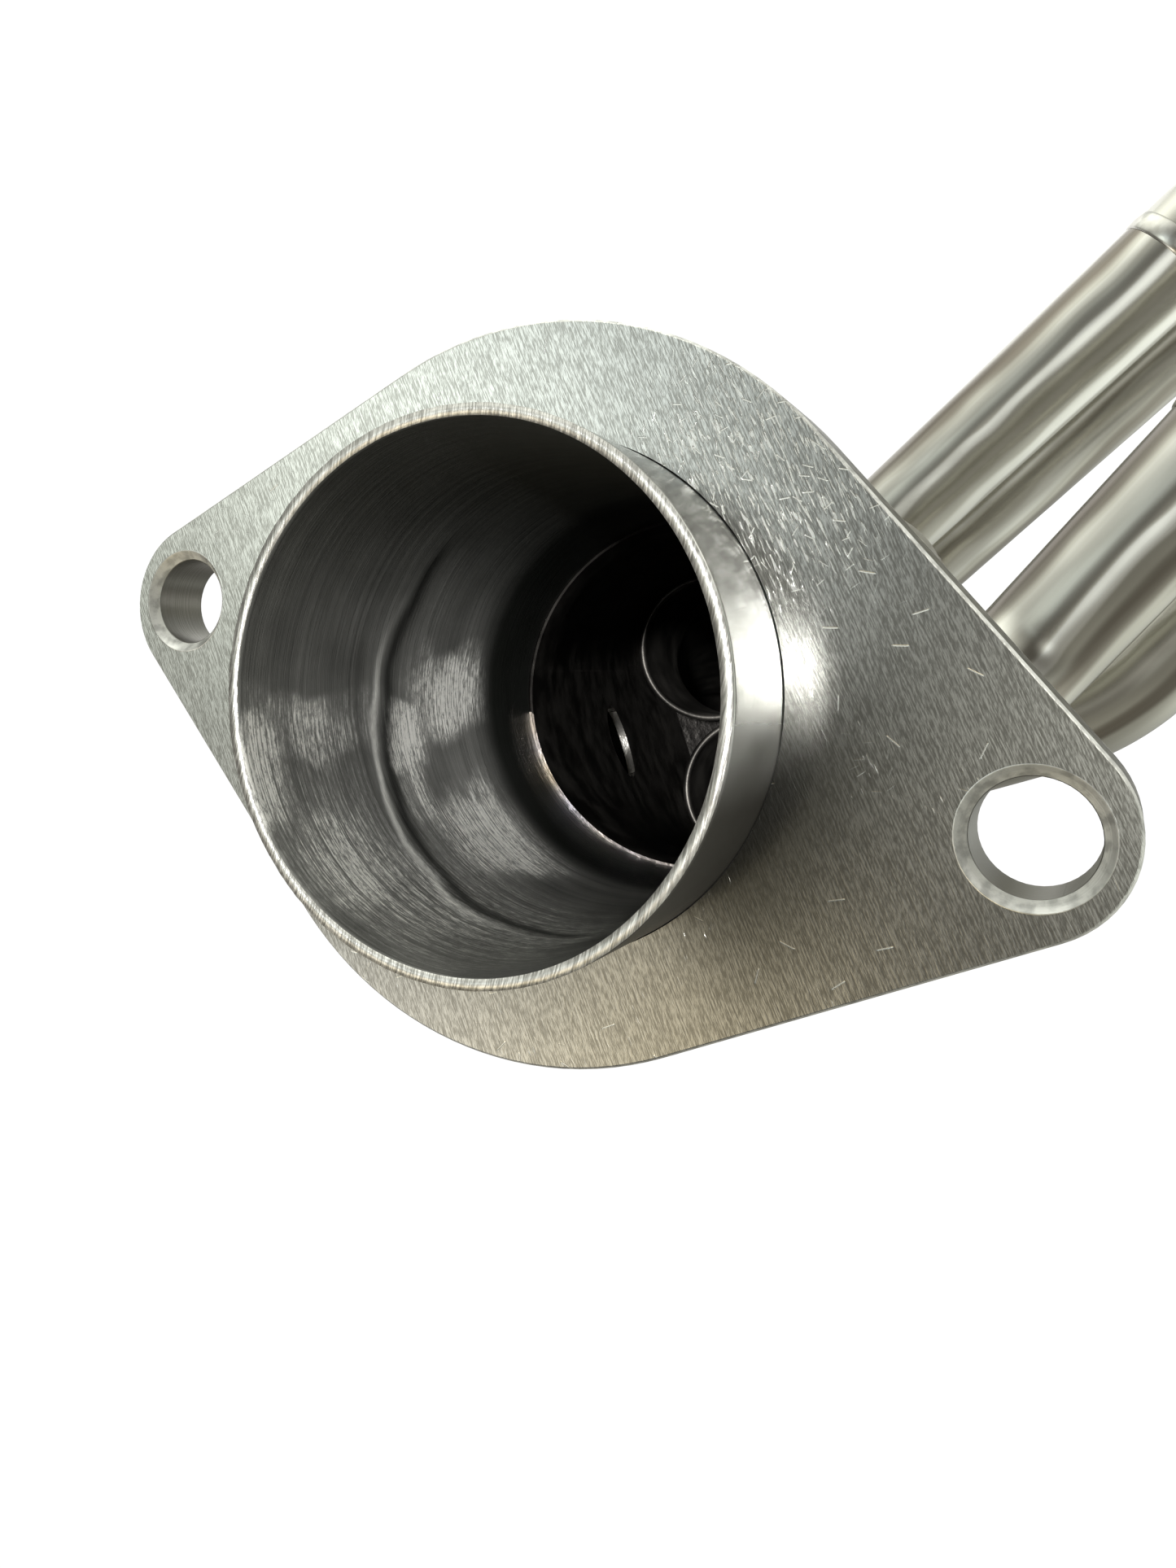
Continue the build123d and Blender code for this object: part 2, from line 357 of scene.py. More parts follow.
skin = recipe.node("GeometryNodeCurveToMesh", None, {"Curve": stepped, "Profile Curve": ring})
split = recipe.node("ShaderNodeSeparateXYZ", None, {0: around})
straight = recipe.vector(split.out("X"), split.out("Y"), along)
skin = recipe.node(
    "GeometryNodeStoreNamedAttribute",
    {"data_type": "FLOAT_VECTOR", "domain": "POINT"},
    {"Geometry": skin, "Name": "straight", "Value": straight},
)
dents = recipe.grain(straight.spread(60.0), 1.0)
inward = recipe.node("GeometryNodeInputNormal").spread(dents * given.out("Bend Dents") * -1.0)
skin = recipe.node("GeometryNodeSetPosition", None, {"Geometry": skin, "Offset": inward})
tube_tree = finish_tree(recipe, skin, given)


def satin_tube_painted_reflections(name, seed, streaks):
    """Satin polished tube with painted reflections: each band is its angle round the tube, half its width,
    and how much lighter it paints the tube, darker below zero.
    """
    satin = Finish(name)
    straight = satin.node("ShaderNodeAttribute", {"attribute_name": "straight"}).out("Vector")
    parts = satin.node("ShaderNodeSeparateXYZ", None, {0: straight})
    x, y, run = parts.out("X"), parts.out("Y"), parts.out("Z") + seed
    sway = satin.grain(satin.vector(x * 24, y * 24, run * 15), 2.0) - 0.5
    angle = satin.node("ShaderNodeMath", {"operation": "ARCTAN2"}, {0: y, 1: x}) + 0.8 * sway
    thin = satin.grain(satin.vector(x * 190, y * 190, run * 9), 2.0)
    belt = satin.grain(satin.vector(x * 2400, y * 2400, run * 160), 2.0)
    rolls = satin.grain(satin.vector(x * 40, y * 40, run * 22), 1.0)
    light = 0.54 + 0.26 * (thin - 0.5)
    # Painted reflections: each band lightens or darkens the tube's colour at its angle round the tube,
    # swelling and thinning along it.
    for index, (middle, half_width, lift) in enumerate(streaks):
        swell = satin.grain(satin.vector(run * 9 + 7.3 * index, 0.0), 1.0).fade(0.2, 0.6, 0.55, 1.0)
        turned = satin.node("ShaderNodeMath", {"operation": "COSINE"}, {0: angle - radians(middle)})
        light = light + turned.fade(cos(radians(half_width)), 1.0) * swell * lift
    tone = satin.blend(light.fade(0.0, 0.55), (0.15, 0.125, 0.10, 1), (0.56, 0.545, 0.49, 1))
    tone = satin.blend(light.fade(0.5, 1.05), tone, (0.93, 0.925, 0.88, 1))
    rough = 0.17 + 0.08 * thin + 0.05 * rolls
    height = 1.05 * rolls + 0.04 * thin + 0.003 * belt
    return satin.metal(tone, rough, height, 0.0011)


def dark_bore(name):
    """Inside of a primary tube: dull oxide grey."""
    bore = Finish(name)
    straight = bore.node("ShaderNodeAttribute", {"attribute_name": "straight"}).out("Vector")
    patches = bore.grain(straight.spread(90.0), 4.0)
    tone = bore.blend(patches.fade(0.35, 0.7), (0.07, 0.066, 0.06, 1), (0.16, 0.15, 0.135, 1))
    return bore.metal(tone, 0.35 + 0.25 * patches, patches, 0.0002)


# The last list of each tube holds its painted reflections: angle round the tube, half width, and how much
# lighter each band paints it, darker below zero.
PRIMARIES = {
    1: dict(cell=(-1, -1), knee=0.016, corners=[(-0.368, -0.2138, 0.067)], radii=[0.070, 0.050],
            swing=0.075, seam_x=-0.088, late_swing=0.075,
            streaks=[(-88, 13, 0.30), (-112, 9, -0.24), (-58, 16, -0.34), (60, 20, 0.25), (150, 14, -0.2)]),
    2: dict(cell=(1, -1), knee=0.024, corners=[(-0.275, -0.220, 0.024)], radii=[0.090, 0.038],
            swing=0.075, seam_x=-0.098, late_swing=0.18,
            streaks=[(168, 26, -0.42), (-162, 8, 0.20), (-143, 8, -0.16), (-131, 8, 0.50),
                     (-105, 10, -0.14), (-76, 13, 0.46), (-48, 9, -0.30), (40, 24, 0.2), (95, 16, -0.2)]),
    3: dict(cell=(1, 1), knee=0.018, corners=[(-0.257, -0.1335, -0.067)], radii=[0.090, 0.038],
            swing=-0.047, seam_x=-0.149, late_swing=-0.047,
            streaks=[(168, 24, -0.42), (-162, 13, 0.20), (-134, 10, -0.28), (-117, 12, 0.60),
                     (-82, 18, -0.36), (30, 20, 0.25), (90, 18, -0.2)]),
    4: dict(cell=(-1, 1), knee=0.016, corners=[(-0.315, -0.154, -0.010), (-0.230, -0.1096, -0.010)],
            radii=[0.090, 0.045, 0.070], swing=-0.047, seam_x=-0.186, late_swing=-0.047,
            streaks=[(-122, 14, 0.85), (-92, 10, -0.24), (-60, 14, -0.40), (20, 20, 0.25), (110, 20, 0.2)]),
}
PORT_BEND = 0.050
tube_bore = dark_bore("primary_bore")
seams = {}
ports = {}
for number, run in PRIMARIES.items():
    cell = [side * BUNDLE_PITCH / 2 for side in run["cell"]]
    corners = [Vector(corner) for corner in run["corners"]]
    drift = Vector((1, run["swing"], 0))
    seam = corners[-1] + drift * (run["seam_x"] - corners[-1].x)
    lower = [in_bundle(SLEEVE_TOP - 0.022, *cell), in_bundle(SLEEVE_TOP + run["knee"], *cell), *corners, seam]
    port_x = PORT_PITCH * (2.5 - number)
    late_drift = Vector((1, run["late_swing"], 0))
    elbow = seam + 0.014 * drift
    turn = elbow + late_drift * (port_x - elbow.x)
    port = Vector((port_x, PLATE_BACK, 0))
    upper = [seam, turn, port - Vector((0, 0.030, 0)), port]
    upper_bends = [PORT_BEND, PORT_BEND]
    if run["late_swing"] != run["swing"]:
        upper.insert(1, elbow)
        upper_bends.insert(0, 2 * PORT_BEND)
    seams[number] = (seam, drift.normalized())
    ports[number] = (port, Vector((0, -1, 0)))
    for piece_name, points, bends in (
        (f"runner_{number}_collector_bend", lower, run["radii"]),
        (f"runner_{number}_port_bend", upper, upper_bends),
    ):
        metal = satin_tube_painted_reflections("satin_" + piece_name, 0.7 * number + 0.31 * len(points), run["streaks"])
        sizes = {
            "Outside Radius": PRIMARY_RADIUS,
            "Step": 0.0025,
            "Sides": 96,
            "Bend Dents": 0.0002,
            "Metal": metal,
        }
        tube = make_piece(piece_name + "_tube", points, tube_tree, sizes, bends=bends)
        give_wall(tube, PRIMARY_WALL, tube_bore)
        place_piece(tube, "tube", piece_name)


# ---- Welds on the primary tubes ------------------------------------------------------
# Fusion beads laid by hand round each tube joint and each port: overlapping pools give
# curved ripples, and the last heat leaves a straw and blue tint beside them.

recipe, given = new_geometry_tree(
    "weld_bead",
    {
        "Axis": ("NodeSocketVector", (0, 0, 1)),
        "Half Width": ("NodeSocketFloat", 0.0022),
        "Half Height": ("NodeSocketFloat", 0.0009),
        "Tilt": ("NodeSocketFloat", 0.0),
        "Ripple Pitch": ("NodeSocketFloat", 0.0014),
        "Ripple Height": ("NodeSocketFloat", 0.00018),
        "Metal": ("NodeSocketMaterial", None),
    },
)
line = recipe.node("GeometryNodeMeshToCurve", None, {0: given.out("Route")})
facing = {"Curve": line, "Normal": given.out("Axis")}
line = recipe.node("GeometryNodeSetCurveNormal", {"mode": "FREE"}, facing)
line = recipe.node("GeometryNodeSetCurveTilt", None, {"Curve": line, "Tilt": given.out("Tilt")})
line = recipe.node(
    "GeometryNodeResampleCurve", {"mode": "LENGTH"}, {"Curve": line, "Length": given.out("Ripple Pitch") / 5}
)
line, along = capture(recipe, line, "FLOAT", recipe.node("GeometryNodeSplineParameter").out("Length"))
pool = recipe.node("GeometryNodeCurvePrimitiveCircle", None, {"Resolution": 18, "Radius": 1.0})
pool_size = recipe.vector(given.out("Half Width"), given.out("Half Height"), 1.0)
pool = recipe.node("GeometryNodeTransform", None, {"Geometry": pool, "Scale": pool_size})
pool, around = capture(recipe, pool, "VECTOR", recipe.node("GeometryNodeInputPosition"))
bead = recipe.node("GeometryNodeCurveToMesh", None, {"Curve": line, "Profile Curve": pool})
side = recipe.node("ShaderNodeSeparateXYZ", None, {0: around}).out("X") / given.out("Half Width")
wander = recipe.grain(recipe.vector(along / 0.006, 0.0), 1.0)
phase = along / given.out("Ripple Pitch") + side * side * 0.7 + wander * 1.2
step = recipe.node("ShaderNodeMath", {"operation": "FRACT"}, {0: phase})
lift = recipe.node("GeometryNodeInputNormal").spread((step - 1.0) * given.out("Ripple Height"))
bead = recipe.node(
    "GeometryNodeStoreNamedAttribute",
    {"data_type": "FLOAT_VECTOR", "domain": "POINT"},
    {"Geometry": bead, "Name": "bead", "Value": recipe.vector(side, phase, step)},
)
bead = recipe.node("GeometryNodeSetPosition", None, {"Geometry": bead, "Offset": lift})
bead_tree = finish_tree(recipe, bead, given)

bead_finish = Finish("fusion_weld_bead")
spot = bead_finish.place()
ripple = bead_finish.node("ShaderNodeAttribute", {"attribute_name": "bead"}).out("Vector")
ripple_parts = bead_finish.node("ShaderNodeSeparateXYZ", None, {0: ripple})
crest = ripple_parts.out("Z")
tint = bead_finish.grain(spot.spread(160.0), 3.0)
scale_dust = bead_finish.grain(spot.spread(1800.0), 3.0)
straw = bead_finish.blend(tint.fade(0.35, 0.65), (0.5, 0.44, 0.35, 1), (0.5, 0.49, 0.48, 1))
weld_tone = bead_finish.blend(crest.fade(0.1, 0.9), (0.3, 0.27, 0.25, 1), straw)
weld_metal = bead_finish.metal(weld_tone, 0.24 + 0.18 * scale_dust, scale_dust, 0.00005)


dressed_finish = Finish("polished_over_bead")
spot = dressed_finish.place()
swirl = dressed_finish.grain(spot.spread(210.0), 2.0)
fine = dressed_finish.grain(spot.spread(1500.0), 2.0)
dressed_tone = dressed_finish.blend(swirl.fade(0.3, 0.7), (0.60, 0.585, 0.54, 1), (0.76, 0.75, 0.71, 1))
dressed_bead = dressed_finish.metal(dressed_tone, 0.15 + 0.1 * swirl, swirl + 0.05 * fine, 0.00006)


def weld_ring(name, centre, axis, radius, half_width, half_height, nodes, metal=weld_metal, tilt=0.0,
              pitch=0.0014, height=0.00018):
    """A weld bead all the way round a tube."""
    axis = Vector(axis).normalized()
    across = axis.orthogonal().normalized()
    other = axis.cross(across)
    steps = 180
    points = [
        centre + radius * (cos(2 * pi * i / steps) * across + sin(2 * pi * i / steps) * other)
        for i in range(steps)
    ]
    sizes = {
        "Axis": tuple(axis),
        "Half Width": half_width,
        "Half Height": half_height,
        "Tilt": tilt,
        "Ripple Pitch": pitch,
        "Ripple Height": height,
        "Metal": metal,
    }
    bead = make_piece(name, points, bead_tree, sizes, closed=True)
    place_piece(bead, "weld", *nodes)
    return bead


SEAM_HALF_WIDTH = 0.0022
SEAM_HEIGHT = 0.0009
FILLET_LEG = 0.004
for number in PRIMARIES:
    seam, drift = seams[number]
    weld_ring(f"runner_{number}_seam_bead", seam, drift, PRIMARY_RADIUS, 1.7 * SEAM_HALF_WIDTH, SEAM_HEIGHT,
              [f"runner_{number}_seam_weld"], metal=dressed_bead, pitch=0.0060, height=0.00006)
    port, outward = ports[number]
    weld_ring(f"runner_{number}_port_bead", port + 0.35 * FILLET_LEG * outward, outward,
              PRIMARY_RADIUS + 0.35 * FILLET_LEG, 0.65 * FILLET_LEG, 0.33 * FILLET_LEG,
              [f"runner_{number}_port_weld"], tilt=radians(45), pitch=0.0018, height=0.00035)


# ---- Collector -----------------------------------------------------------------------
# Pressed and seam-welded sheet shell that gathers the four tubes into the round outlet.
# Satin like the tubes and heat tinted where the closing weld runs. Its inside faces and the
# end steps facing down its axis are painted near black as painted shade.

shell_finish = Finish("satin_collector_sheet")
spot = shell_finish.place()
height_up = spot.shift(tuple(-collector_foot)).dot(lean_axis)
drawn = shell_finish.lines(spot, tuple(lean_axis), tuple(bundle_x), 0.09, 0.0035, 2.0)
fine = shell_finish.lines(spot, tuple(lean_axis), tuple(bundle_x), 0.01, 0.00035, 2.0)
clouds = shell_finish.grain(spot.spread(45.0), 3.0)
sheet_tone = shell_finish.blend(drawn.fade(0.3, 0.7), (0.4, 0.38, 0.345, 1), (0.64, 0.625, 0.585, 1))
heat = height_up.near(SLEEVE_TOP, 0.012) + height_up.near(0.0, 0.010)
heat_tone = shell_finish.blend(clouds.fade(0.4, 0.6), (0.52, 0.4, 0.24, 1), (0.36, 0.34, 0.42, 1))
shell_metal = shell_finish.metal(
    shell_finish.blend(0.6 * heat, sheet_tone, heat_tone),
    0.24 + 0.14 * clouds,
    0.8 * clouds + 0.4 * drawn + 0.12 * fine,
    0.0005,
)

# Painted shade: near-black metal for the collector's inside.
inside_shade_finish = Finish("sooty_collector_inside")
inside_grain = inside_shade_finish.grain(inside_shade_finish.place().spread(160.0), 4.0)
painted_shade_tone = inside_shade_finish.blend(inside_grain.fade(0.35, 0.7), (0.012, 0.011, 0.010, 1), (0.045, 0.042, 0.038, 1))
painted_shade_metal = inside_shade_finish.metal(painted_shade_tone, 0.55 + 0.25 * inside_grain, inside_grain, 0.0002)

shell = bpy.data.objects.new("collector_shell_sheet", cad["collector_shell"].data.copy())
bpy.context.scene.collection.objects.link(shell)
sheet = bmesh.new()
sheet.from_mesh(shell.data)
bmesh.ops.remove_doubles(sheet, verts=sheet.verts, dist=1e-6)
sheet.normal_update()
shell_tree = BVHTree.FromBMesh(sheet)
# Faces that look inward across the shell, and end steps facing down its axis, take the near-black painted
# shade; the rest keep the satin sheet.
for face in sheet.faces:
    middle = face.calc_center_median()
    outward = middle - collector_foot
    outward -= outward.dot(lean_axis) * lean_axis
    faces_in = face.normal.dot(outward.normalized()) < 0.25
    opposite = shell_tree.ray_cast(middle + 0.0002 * face.normal, face.normal, 0.2)[0]
    end_step = face.normal.dot(lean_axis) < -0.9 and outward.normalized().x > -0.75
    face.material_index = 1 if (faces_in and opposite is not None) or end_step else 0
    face.smooth = True
for edge in sheet.edges:
    edge.smooth = len(edge.link_faces) == 2 and edge.calc_face_angle() < radians(32)
shell.data.materials.clear()
shell.data.materials.append(shell_metal)
shell.data.materials.append(painted_shade_metal)
sheet.to_mesh(shell.data)
sheet.free()
place_piece(shell, "tube", "collector_shell")

closing_finish = Finish("closing_weld")
spot = closing_finish.place()
closing_height = spot.shift(tuple(-collector_foot)).dot(lean_axis)
pools = closing_finish.grain(spot.spread(420.0), 3.0)
closing_tone = closing_finish.blend(pools.fade(0.35, 0.65), (0.3, 0.27, 0.24, 1), (0.52, 0.47, 0.4, 1))
# Painted shade: below the sleeve top the weld is near black.
closing_tone = closing_finish.blend(
    closing_height.fade(SLEEVE_TOP + 0.0002, SLEEVE_TOP + 0.0006), (0.015, 0.014, 0.013, 1), closing_tone
)
dress("collector_weld", closing_finish.metal(closing_tone, 0.32 + 0.2 * pools, pools, 0.0003))
for number, run in PRIMARIES.items():
    cell = [side * BUNDLE_PITCH / 2 for side in run["cell"]]
    weld_ring(f"runner_{number}_collector_bead", in_bundle(SLEEVE_TOP + 0.0022, *cell), lean_axis,
              PRIMARY_RADIUS + 0.0006, 0.0026, 0.0014, [], tilt=radians(40), pitch=0.0018, height=0.0003)


# ---- Merge spike ---------------------------------------------------------------------
# Folded sheet point welded between the four tube ends, inside the collector. It splits the
# flow, and the exhaust side keeps a dull grey oxide.

spike_finish = Finish("oxide_spike")
spot = spike_finish.place()
scale_patches = spike_finish.grain(spot.spread(220.0), 4.0)
spike_tone = spike_finish.blend(scale_patches.fade(0.35, 0.7), (0.08, 0.075, 0.07, 1), (0.2, 0.19, 0.17, 1))
dress("merge_spike", spike_finish.metal(spike_tone, 0.35 + 0.2 * scale_patches, scale_patches, 0.0001))


# ---- Oxygen sensor bung --------------------------------------------------------------
# Turned stainless boss with an M18 x 1.5 thread, set on the collector and welded round.
# Fine rings from the lathe show on its face and side.

sensor = mounts["sensor_thread"]
bung_centre = Vector(sensor["pos_m"])
bung_axis = Vector(sensor["axis"]).normalized()
THREAD_RADIUS = sensor["dims"]["r_mm"] / 1000
THREAD_LENGTH = sensor["dims"]["length_mm"] / 1000
THREAD_PITCH = 0.0015

turned_finish = Finish("turned_bung")
spot = turned_finish.place().shift(tuple(-bung_centre))
depth = spot.dot(bung_axis)
bung_side = bung_axis.orthogonal().normalized()
bung_up = bung_axis.cross(bung_side)
across, upward = spot.dot(bung_side), spot.dot(bung_up)
distance = (across * across + upward * upward) ** 0.5
rings = turned_finish.grain(turned_finish.vector(distance * 5200, depth * 5200), 2.0)
smudge = turned_finish.grain(spot.spread(260.0), 2.0)
bung_tone = turned_finish.blend(smudge.fade(0.3, 0.7), (0.5, 0.48, 0.45, 1), (0.66, 0.65, 0.63, 1))
# Painted shade: more than 7 mm back from its centre along its axis, at its root, the bung is near black.
bung_tone = turned_finish.blend(depth.fade(-0.0071, -0.0065), (0.02, 0.019, 0.017, 1), bung_tone)
bung_metal = turned_finish.metal(bung_tone, 0.22 + 0.14 * smudge, rings, 0.00003)
dress("sensor_bung", bung_metal)
dress("sensor_bung_weld", weld_metal)

recipe, given = new_geometry_tree(
    "screw_thread",
    {
        "Core Radius": ("NodeSocketFloat", THREAD_RADIUS),
        "Length": ("NodeSocketFloat", THREAD_LENGTH),
        "Pitch": ("NodeSocketFloat", THREAD_PITCH),
        "Depth": ("NodeSocketFloat", 0.0006),
        "Metal": ("NodeSocketMaterial", None),
    },
)
coil = recipe.node(
    "GeometryNodeCurveSpiral",
    None,
    {
        "Resolution": 64,
        "Rotations": given.out("Length") / given.out("Pitch"),
        "Start Radius": given.out("Core Radius"),
        "End Radius": given.out("Core Radius"),
        "Height": given.out("Length"),
    },
)
ridge = recipe.node("GeometryNodeCurvePrimitiveCircle", None, {"Resolution": 6, "Radius": given.out("Depth")})
swept = {"Curve": coil, "Profile Curve": ridge, "Fill Caps": True}
thread_skin = recipe.node("GeometryNodeCurveToMesh", None, swept)
thread_tree = finish_tree(recipe, thread_skin, given)
thread_sizes = {
    "Core Radius": THREAD_RADIUS,
    "Length": THREAD_LENGTH,
    "Pitch": THREAD_PITCH,
    "Depth": 0.0006,
    "Metal": bung_metal,
}
thread = make_piece("sensor_bung_thread", [(0, 0, 0), (0, 0, THREAD_LENGTH)], thread_tree, thread_sizes)
bung_frame = Matrix((bung_side, bung_up, bung_axis)).transposed().to_4x4()
thread.data.transform(Matrix.Translation(bung_centre - bung_axis * THREAD_LENGTH / 2) @ bung_frame)
place_piece(thread, "machined")


# ---- Outlet pipe ---------------------------------------------------------------------
# 57.15 mm thin-wall tube, sawn square, left standing proud of its flange and bent slightly
# to meet the collector. Its rim keeps saw marks; the weld's heat left a ring in the bore.
# One side of the pipe by the flange is painted near black as painted shade. In the bore one
# side is painted lighter, bright patches and a light line before the ring are painted
# highlights, and a dark band past the ring is a painted shadow. The deep end and the far sawn
# end are painted near black as painted shade.

PIPE_RADIUS = 0.028575
PIPE_WALL = 0.0012
PIPE_STANDOUT = 0.0158
PIPE_BEND_RADIUS = 0.080
rim_z = outlet.z - PIPE_STANDOUT

pipe_finish = Finish("polished_outlet_pipe")
straight = pipe_finish.node("ShaderNodeAttribute", {"attribute_name": "straight"}).out("Vector")
spot = pipe_finish.place()
parts = pipe_finish.node("ShaderNodeSeparateXYZ", None, {0: straight})
x, y, run = parts.out("X"), parts.out("Y"), parts.out("Z")
drift = pipe_finish.grain(straight.spread(30.0), 2.0)
smear_and_painted_reflection = pipe_finish.grain(pipe_finish.vector(x * 130, y * 130, run * 60 + drift), 2.0)
belt = pipe_finish.grain(pipe_finish.vector(x * 500, y * 500, run * 5000), 2.0)
round_pipe = spot.shift((-outlet.x, -outlet.y, 0.0)).spread(1 / PIPE_RADIUS)
# Painted shade: the pipe's side at about 92 degrees round it, where it stands proud of the flange, is near
# black, dull and less bare.
painted_shade_side = round_pipe.dot((cos(radians(92.0)), sin(radians(92.0)), 0)).fade(0.66, 0.92)
painted_shade_side = painted_shade_side * spot.dot((0, 0, 1)).fade(outlet.z, outlet.z + 0.002, 1.0, 0.0)
pipe_tone = pipe_finish.blend(smear_and_painted_reflection.fade(0.35, 0.7), (0.56, 0.56, 0.53, 1), (0.9, 0.9, 0.87, 1))
pipe_tone = pipe_finish.blend(painted_shade_side, pipe_tone, (0.035, 0.032, 0.026, 1))
pipe_rough = 0.10 + 0.1 * smear_and_painted_reflection + 0.4 * painted_shade_side
pipe_metal = pipe_finish.metal(pipe_tone, pipe_rough, smear_and_painted_reflection + 0.008 * belt, 0.00022, bareness=1 - painted_shade_side)

RING_Z = rim_z + 0.025
RING_TILT = 0.005
RING_HIGH_SIDE = radians(-70.0)

bore_finish = Finish("drawn_outlet_bore")
spot = bore_finish.place().shift((-outlet.x, -outlet.y, -rim_z))
parts = bore_finish.node("ShaderNodeSeparateXYZ", None, {0: spot})
x, y, run = parts.out("X"), parts.out("Y"), parts.out("Z")
drift = bore_finish.grain(spot.spread(90.0), 2.0) - 0.5
angle = bore_finish.node("ShaderNodeMath", {"operation": "ARCTAN2"}, {0: y, 1: x})
hoops = bore_finish.grain(bore_finish.vector(x * 22, y * 22, run * 1500 + drift * 1.5), 3.0)
fine_hoops = bore_finish.grain(bore_finish.vector(x * 60, y * 60, run * 5200 + drift * 3), 2.0)
speckle = bore_finish.grain(bore_finish.vector(x * 700, y * 700, run * 2600), 5.0, 0.75)
clouds = bore_finish.grain(spot.spread(110.0), 3.0)


def from_side(turn, half_width):
    """1 at an angle round the bore, falling to 0 half a width away."""
    cosine = bore_finish.node("ShaderNodeMath", {"operation": "COSINE"}, {0: angle + 0.5 * drift - turn})
    return cosine.fade(cos(half_width), 1.0)


ring_climb = bore_finish.node("ShaderNodeMath", {"operation": "COSINE"}, {0: angle - RING_HIGH_SIDE})
past_ring = run + 0.0035 * drift - (RING_Z - rim_z) - ring_climb * RING_TILT
# Painted light: the side of the bore at about -165 degrees round it is painted lighter.
shade = 0.045 + 0.13 * from_side(radians(-165.0), radians(100.0)) * (0.3 + 1.4 * clouds)
shade = shade * (0.45 + 1.1 * hoops)
# Painted highlights: bright speckled patches in the bore; each row gives angle round the bore, depth, half
# angle, half depth and lift.
for side, depth, half_angle, half_depth, lift in (
    (-140, 0.013, 9, 0.013, 0.40),
    (-151, 0.002, 10, 0.005, 0.9),
    (-176, 0.010, 12, 0.009, 0.40),
    (-145, 0.032, 8, 0.005, 1.0),
    (-134, 0.044, 13, 0.011, 0.95),
    (-158, 0.031, 12, 0.004, 0.5),
    (178, 0.041, 16, 0.012, 0.95),
    (150, 0.020, 30, 0.020, 0.20),
    (178, 0.012, 30, 0.012, 0.16),
):
    reach_in = (run + 0.006 * drift).near(depth, 1.3 * half_depth)
    patch = (from_side(radians(side), radians(1.4 * half_angle)) * reach_in) ** 1.3
    glints = speckle.fade(0.34, 0.74) * fine_hoops.fade(0.3, 0.75) * (0.2 + hoops)
    shade = shade + 2.0 * lift * patch * (0.08 + 3.4 * glints)
# Painted highlight: a light line just before the ring on one side; painted shadow: a dark band just past the
# ring.
ring_light = past_ring.near(-0.0014, 0.0011) * from_side(radians(-165.0), radians(60.0)) * (0.4 + speckle)
ring_side = from_side(radians(-160.0), radians(85.0))
ring_shadow = past_ring.near(0.0012, 0.0020) * ring_side.fade(0.0, 0.3)
# Painted shade: from 48 to 57 mm deep the bore fades to near black.
shade = (shade + 0.5 * ring_light) * (1 - 0.75 * ring_shadow) * run.fade(0.048, 0.057, 1.0, 0.03)
bore_tone = bore_finish.blend(shade, (0.004, 0.005, 0.0035, 1), (1.0, 0.99, 0.92, 1))
rough = 0.34 + 0.2 * clouds + 0.1 * speckle
bore_height = 0.5 * hoops + 0.35 * fine_hoops + 0.35 * speckle + 2.6 * ring_side * past_ring.near(0.0, 0.0040)
bore_metal = bore_finish.metal(bore_tone, rough, bore_height, 0.00010, bareness=0.25)

sawn_finish = Finish("sawn_pipe_end")
spot = sawn_finish.place()
teeth = sawn_finish.lines(spot, (0.85, -0.53, 0), (0.53, 0.85, 0), 0.003, 0.00019, 3.0)
rough_edge = sawn_finish.grain(spot.spread(2400.0), 2.0)
sawn_tone = sawn_finish.blend(teeth.fade(0.35, 0.65), (0.46, 0.45, 0.42, 1), (1.0, 0.99, 0.95, 1))
# Painted shade: the pipe's far sawn end, inside the collector, is near black.
inner_end = spot.dot((0, 0, 1)).fade(outlet.z, outlet.z + 0.01)
sawn_tone = sawn_finish.blend(inner_end, sawn_tone, (0.05, 0.05, 0.045, 1))
sawn_metal = sawn_finish.metal(sawn_tone, 0.3 + 0.2 * rough_edge, teeth + 0.5 * rough_edge, 0.00005)

pipe_sizes = {
    "Outside Radius": PIPE_RADIUS,
    "Step": 0.0008,
    "Sides": 220,
    "Bend Dents": 0.00005,
    "Metal": pipe_metal,
}
pipe_route = [outlet - Vector((0, 0, PIPE_STANDOUT)), pipe_bend, collector_foot]
outlet_tube = make_piece("outlet_pipe_tube", pipe_route, tube_tree, pipe_sizes, bends=[PIPE_BEND_RADIUS])
give_wall(outlet_tube, PIPE_WALL, bore_metal, sawn_metal)

for vertex in outlet_tube.data.vertices:
    radial = Vector((vertex.co.x - outlet.x, vertex.co.y - outlet.y, 0))
    inner = radial.length < PIPE_RADIUS - PIPE_WALL / 2
    if vertex.co.z < rim_z + 0.0004:
        jag = noise.noise(vertex.co * 900) * 0.5 + 0.5
        vertex.co.z += 0.00012 * jag + (0.00012 if inner else 0.0)
        vertex.co -= radial.normalized() * (0.00007 * jag if not inner else 0.0)
place_piece(outlet_tube, "tube", "outlet_pipe")
weld_ring("outlet_pipe_seam_bead", collector_foot, lean_axis, PIPE_RADIUS, SEAM_HALF_WIDTH, SEAM_HEIGHT,
          ["outlet_pipe_seam_weld"])


# ---- Outlet flange -------------------------------------------------------------------
# Flame-cut two-bolt plate, ground on its face in one steep direction after cutting. Handling
# leaves nicks; the edge is broken and the bolt holes countersunk. The nicks are painted near
# white as painted glints and crowd into a painted glint patch by the pipe, and a dark patch
# on the face beside the pipe is a painted reflection of the pipe's dark side.

